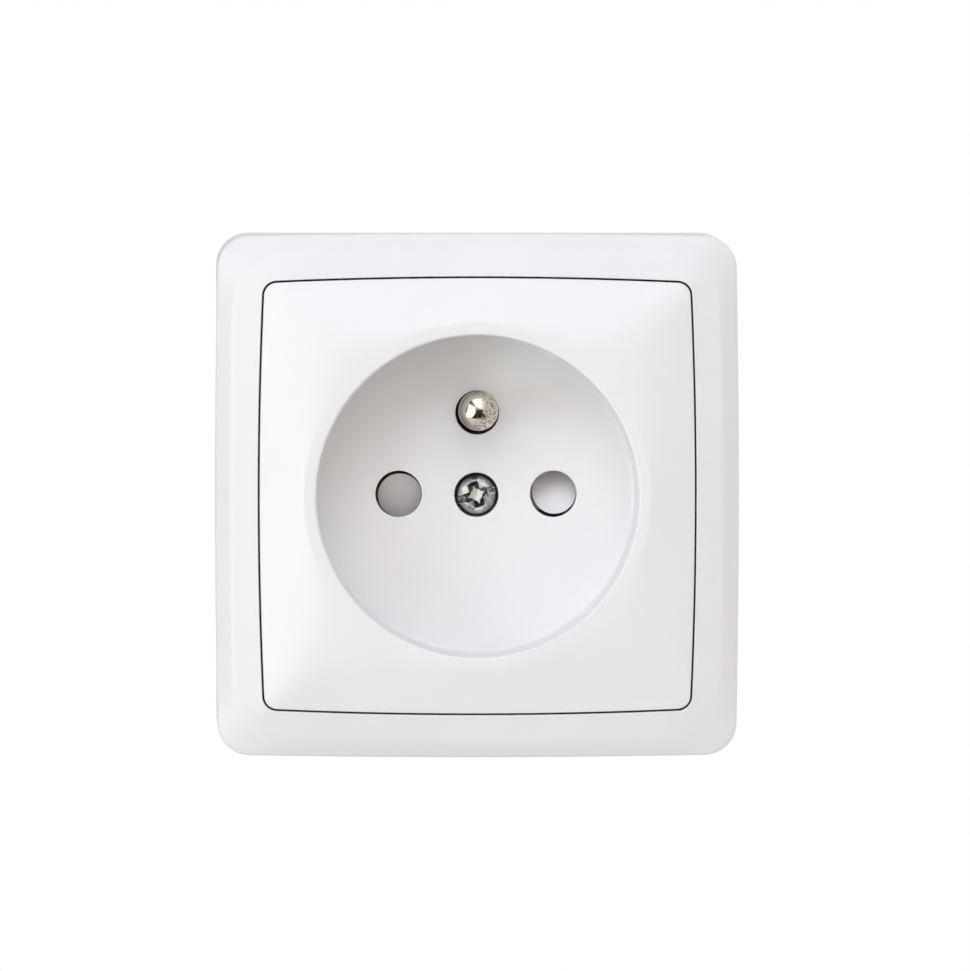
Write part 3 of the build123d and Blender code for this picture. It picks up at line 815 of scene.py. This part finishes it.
# gloss and metal mirror a room that is darker on the left
mirror = wt.nodes.new("ShaderNodeBackground")
mirror.inputs["Color"].default_value = (1.0, 0.99, 0.96, 1)
across = wt.nodes.new("ShaderNodeMapRange")
across.inputs["From Min"].default_value = -0.7
across.inputs["From Max"].default_value = 0.25
across.inputs["To Min"].default_value = 0.24
across.inputs["To Max"].default_value = 0.62
wt.links.new(parts.outputs["X"], across.inputs["Value"])
wt.links.new(across.outputs["Result"], mirror.inputs["Strength"])
seen = wt.nodes.new("ShaderNodeMixShader")
wt.links.new(path.outputs["Is Glossy Ray"], seen.inputs["Fac"])
wt.links.new(room.outputs[0], seen.inputs[1])
wt.links.new(mirror.outputs[0], seen.inputs[2])
choose = wt.nodes.new("ShaderNodeMixShader")
wt.links.new(path.outputs["Is Camera Ray"], choose.inputs["Fac"])
wt.links.new(seen.outputs[0], choose.inputs[1])
wt.links.new(white.outputs[0], choose.inputs[2])
wt.links.new(choose.outputs[0], out.inputs["Surface"])

AIM = Vector((0.0, -0.034, 0.0))


def softbox(name, direction, distance, size, power, color=(1, 1, 1), glossy=True):
    d = Vector(direction).normalized()
    light = bpy.data.lights.new(name, "AREA")
    light.shape = "RECTANGLE"
    light.size, light.size_y = size
    light.energy = power
    light.color = color
    o = bpy.data.objects.new(name, light)
    scene.collection.objects.link(o)
    o.location = AIM + d * distance
    o.rotation_euler = (-d).to_track_quat("-Z", "Y").to_euler()
    o.visible_camera = False
    o.visible_glossy = glossy
    return o


def off_axis(deg, turn):
    """Direction that lies deg off the front axis, turned round it: 0 right, 90 up, 180 left."""
    q, r = math.radians(deg), math.radians(turn)
    return (math.sin(q) * math.cos(r), -math.cos(q), math.sin(q) * math.sin(r))


# The plastic's shading comes from these, and none of them shows as a reflection.
softbox("left_box", off_axis(45, 186), 1.0, (0.45, 0.45), 2.09, (0.785, 0.967, 1.0), glossy=False)
softbox("top_box", off_axis(35, 95), 1.0, (0.4, 0.4), 1.81, (0.753, 0.784, 1.0), glossy=False)
softbox("top_left_box", off_axis(35, 135), 1.0, (0.4, 0.4), 1.28, (0.913, 0.941, 1.0), glossy=False)
softbox("top_right_fill", off_axis(45, 60), 1.0, (0.5, 0.5), 1.16, (0.796, 0.925, 1.0), glossy=False)
softbox("front_fill", off_axis(6, 90), 1.6, (0.9, 0.9), 3.08, (1.0, 0.8425, 0.69), glossy=False)
softbox("right_fill", off_axis(50, 0), 1.0, (0.8, 0.8), 0.30, (0.7, 1.0, 0.6), glossy=False)


def reflections_only(o):
    o.visible_camera = False
    o.visible_diffuse = False
    o.visible_transmission = False
    o.visible_volume_scatter = False
    o.visible_shadow = False


def sheet(name, corners, strength, color=(1, 1, 1), distance=1.0, n=14):
    """A sheet that only reflections see. Its corners say where it shows on a mirror ball, in radii right and up from the ball's middle."""
    bm = bmesh.new()
    grid = []
    for i in range(n + 1):
        row = []
        for j in range(n + 1):
            a, b = i / n, j / n
            p = [(1 - a) * ((1 - b) * c0 + b * c1) + a * ((1 - b) * c3 + b * c2) for c0, c1, c2, c3 in zip(*corners)]
            k = math.sqrt(max(1 - p[0] ** 2 - p[1] ** 2, 0.0))
            d = Vector((2 * p[0] * k, -(2 * k * k - 1), 2 * p[1] * k))
            row.append(bm.verts.new(d * distance))
        grid.append(row)
    for i in range(n):
        for j in range(n):
            bm.faces.new((grid[i][j], grid[i][j + 1], grid[i + 1][j + 1], grid[i + 1][j]))
    mesh = bpy.data.meshes.new(name)
    bm.to_mesh(mesh)
    bm.free()
    o = bpy.data.objects.new(name, mesh)
    scene.collection.objects.link(o)
    o.location = at(*PIN, 37.6)
    m = bpy.data.materials.new(name)
    m.use_nodes = True
    m.node_tree.nodes.clear()
    glow = m.node_tree.nodes.new("ShaderNodeEmission")
    glow.inputs["Color"].default_value = (*color, 1)
    glow.inputs["Strength"].default_value = strength
    end = m.node_tree.nodes.new("ShaderNodeOutputMaterial")
    m.node_tree.links.new(glow.outputs[0], end.inputs["Surface"])
    o.data.materials.append(m)
    reflections_only(o)
    return o


sheet("top_sheet", ((-0.37, 0.62), (0.22, 0.71), (0.20, 0.11), (-0.15, 0.20)), 1.5, (0.84, 0.94, 1.1))
sheet("left_sheet", ((-0.46, 0.36), (-0.16, 0.17), (-0.20, -0.30), (-0.69, -0.34)), 1.6, (0.93, 0.97, 1.02))
sheet("top_glow", ((-0.42, 0.74), (0.36, 0.74), (0.30, 0.05), (-0.16, 0.20)), 0.90, (0.90, 0.97, 1.08), 1.04)
sheet("left_glow", ((-0.54, 0.40), (-0.15, 0.18), (-0.08, -0.54), (-0.62, -0.64)), 0.80, (1.0, 0.985, 0.95), 1.04)
sheet("notch", ((-0.47, 0.52), (-0.38, 0.56), (-0.33, 0.40), (-0.42, 0.36)), 0.08, (0.85, 0.9, 1.0), 0.97)
# the dark camera on its stand
sheet("camera_body", ((-0.13, 0.06), (0.22, 0.06), (0.26, -0.20), (-0.17, -0.20)), 0.05, (1.0, 0.95, 0.85), 0.98)
sheet("camera_stand", ((-0.20, -0.14), (0.28, -0.14), (0.44, -0.38), (-0.34, -0.38)), 0.03, (1.0, 0.95, 0.85), 0.975)

camera = bpy.data.cameras.new("photo_camera")
camera.sensor_width = 36.0
camera.lens = 306.5
camera.clip_start = 0.01
camera.clip_end = 50
eye = bpy.data.objects.new("photo_camera", camera)
scene.collection.objects.link(eye)
eye.location = (-0.01307, -1.0407, 0.0205)
eye.rotation_euler = (Vector((0.0011, -0.026, 0.00103)) - eye.location).to_track_quat("-Z", "Y").to_euler()
scene.camera = eye

scene.view_settings.view_transform = "Standard"
scene.view_settings.look = "None"
scene.view_settings.exposure = 0.0
scene.view_settings.gamma = 1.0
